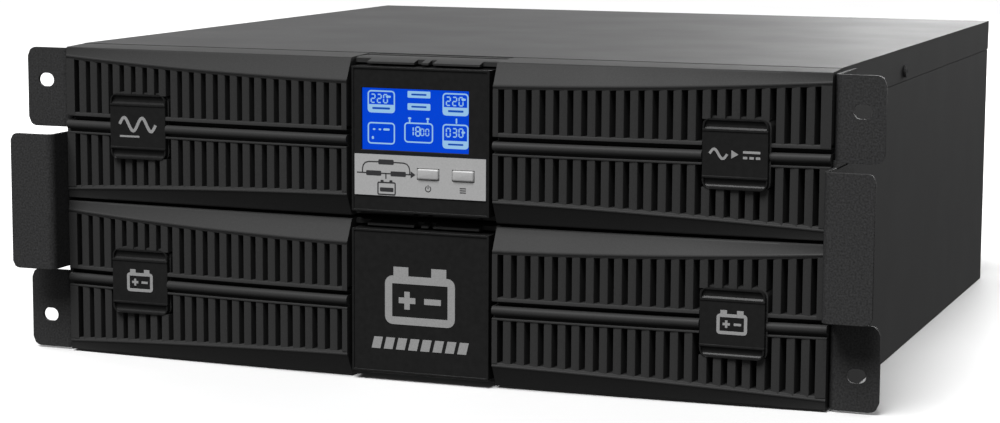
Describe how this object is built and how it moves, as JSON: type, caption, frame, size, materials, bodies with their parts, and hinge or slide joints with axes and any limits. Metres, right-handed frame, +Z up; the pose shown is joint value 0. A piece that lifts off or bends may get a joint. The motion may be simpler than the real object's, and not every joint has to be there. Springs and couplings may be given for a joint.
{
  "type": "uninterruptible power supply",
  "caption": "Rack-mounted uninterruptible power supply: power bay with display above, battery bay below, slotted bowed bezels, rack ears with pull handles.",
  "frame": {"origin": "middle of the footprint of the whole unit, on the surface it stands on", "axes": "+Z up, front faces -Y, +X to the right seen from the front"},
  "size_m": [0.4826, 0.472, 0.171],
  "materials": {
    "chassis_paint": "satin",
    "ear_paint": "matte",
    "grille_plastic": "satin",
    "gloss_plastic": "gloss",
    "window_clear": "gloss",
    "lcd_blue": "gloss",
    "silver_plastic": "satin",
    "zinc_steel": "satin",
    "board_green": "satin",
    "sink_aluminium": "satin",
    "winding_copper": "satin",
    "capacitor_blue": "satin",
    "case_grey": "matte",
    "socket_black": "satin",
    "port_metal": "satin",
    "button_white": "satin",
    "lever_red": "satin"
  },
  "bodies": {
    "chassis": {"chassis_tray": "chassis_paint", "top_cover": "chassis_paint", "front_panel": "chassis_paint", "rear_panel": "chassis_paint", "left_cover_screw": "chassis_paint", "right_cover_screw": "chassis_paint", "left_rack_ear": "ear_paint", "right_rack_ear": "ear_paint", "mid_shelf": "zinc_steel", "left_ear_screw_1": "zinc_steel", "left_ear_screw_2": "zinc_steel", "right_ear_screw_1": "zinc_steel", "right_ear_screw_2": "zinc_steel", "left_fan_guard": "zinc_steel", "right_fan_guard": "zinc_steel", "card_slot_cover": "zinc_steel", "battery_hold_down": "zinc_steel", "ground_stud": "zinc_steel", "main_board": "board_green", "rectifier_heat_sink": "sink_aluminium", "inverter_heat_sink": "sink_aluminium", "input_choke": "winding_copper", "output_choke": "winding_copper", "charger_transformer": "winding_copper", "bus_capacitor_1": "capacitor_blue", "bus_capacitor_2": "capacitor_blue", "bus_capacitor_3": "capacitor_blue", "battery_1": "case_grey", "battery_2": "case_grey", "battery_3": "case_grey", "battery_4": "case_grey", "battery_5": "case_grey", "battery_6": "case_grey", "battery_connector": "case_grey", "left_fan_frame": "socket_black", "right_fan_frame": "socket_black", "inlet_socket": "socket_black", "outlet_block": "socket_black", "input_breaker": "socket_black", "usb_port": "socket_black", "battery_breaker": "socket_black", "serial_port": "port_metal"},
    "ups_front": {"ups_bezel": "grille_plastic", "ups_left_badge": "gloss_plastic", "ups_right_badge": "gloss_plastic"},
    "battery_front": {"battery_bezel": "grille_plastic", "battery_left_badge": "gloss_plastic", "battery_right_badge": "gloss_plastic"},
    "display_module": {"display_housing": "gloss_plastic", "lcd_window": "window_clear", "lcd_panel": "lcd_blue", "control_plate": "silver_plastic", "display_board": "board_green"},
    "emblem_module": {"emblem_cover": "gloss_plastic"},
    "power_button": {"power_button": "silver_plastic"},
    "function_button": {"function_button": "silver_plastic"},
    "left_rotor": {"left_fan_rotor": "case_grey"},
    "right_rotor": {"right_fan_rotor": "case_grey"},
    "breaker_lever": {"battery_breaker_lever": "lever_red"},
    "reset_button": {"breaker_button": "button_white"}
  },
  "joints": [
    {"name": "ups_bezel_pull", "type": "slide", "parent": "chassis", "child": "ups_front", "axis": [0, -1, 0], "range_m": [0, 0.03]},
    {"name": "battery_bezel_pull", "type": "slide", "parent": "chassis", "child": "battery_front", "axis": [0, -1, 0], "range_m": [0, 0.03]},
    {"name": "display_pull", "type": "slide", "parent": "ups_front", "child": "display_module", "axis": [0, -1, 0], "range_m": [0, 0.028]},
    {"name": "emblem_pull", "type": "slide", "parent": "battery_front", "child": "emblem_module", "axis": [0, -1, 0], "range_m": [0, 0.028]},
    {"name": "power_button_press", "type": "slide", "parent": "display_module", "child": "power_button", "axis": [0, 1, 0], "range_m": [0, 0.0009], "stiffness_N_per_m": 800},
    {"name": "function_button_press", "type": "slide", "parent": "display_module", "child": "function_button", "axis": [0, 1, 0], "range_m": [0, 0.0009], "stiffness_N_per_m": 800},
    {"name": "left_fan_spin", "type": "hinge", "parent": "chassis", "child": "left_rotor", "pos_m": [-0.169, 0.211, 0.128], "axis": [0, 1, 0], "continuous": true},
    {"name": "right_fan_spin", "type": "hinge", "parent": "chassis", "child": "right_rotor", "pos_m": [-0.086, 0.211, 0.128], "axis": [0, 1, 0], "continuous": true},
    {"name": "battery_breaker_toggle", "type": "hinge", "parent": "chassis", "child": "breaker_lever", "pos_m": [0.12, 0.22, 0.043], "axis": [1, 0, 0], "range_deg": [0, 57]},
    {"name": "breaker_button_pop", "type": "slide", "parent": "chassis", "child": "reset_button", "axis": [0, 1, 0], "range_m": [0, 0.003]}
  ]
}
